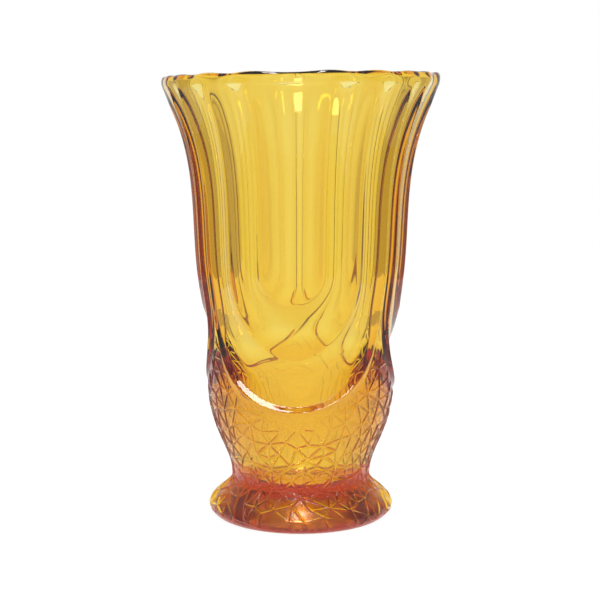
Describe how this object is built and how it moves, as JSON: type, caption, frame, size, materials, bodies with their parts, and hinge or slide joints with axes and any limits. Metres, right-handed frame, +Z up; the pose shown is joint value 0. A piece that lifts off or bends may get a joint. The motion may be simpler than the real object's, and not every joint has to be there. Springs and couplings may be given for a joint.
{
  "type": "fan vase",
  "caption": "Pressed amber glass vase with a round crackled foot and bulb, a body of nested U-shaped ridges and hollow flutes, and a flared scalloped rim.",
  "frame": {"origin": "centre of the foot's underside, on the table", "axes": "+Z up along the vase's axis, out of the mouth; -Y towards the middle of one of the three panels; +X to the right of that panel"},
  "size_m": [0.1248, 0.123, 0.2],
  "materials": {
    "amber_glass": "transparent amber, fire-polished on the panels and crackled on the bulb and foot"
  },
  "bodies": {
    "root": {"glass_vase": "amber_glass"}
  },
  "joints": []
}
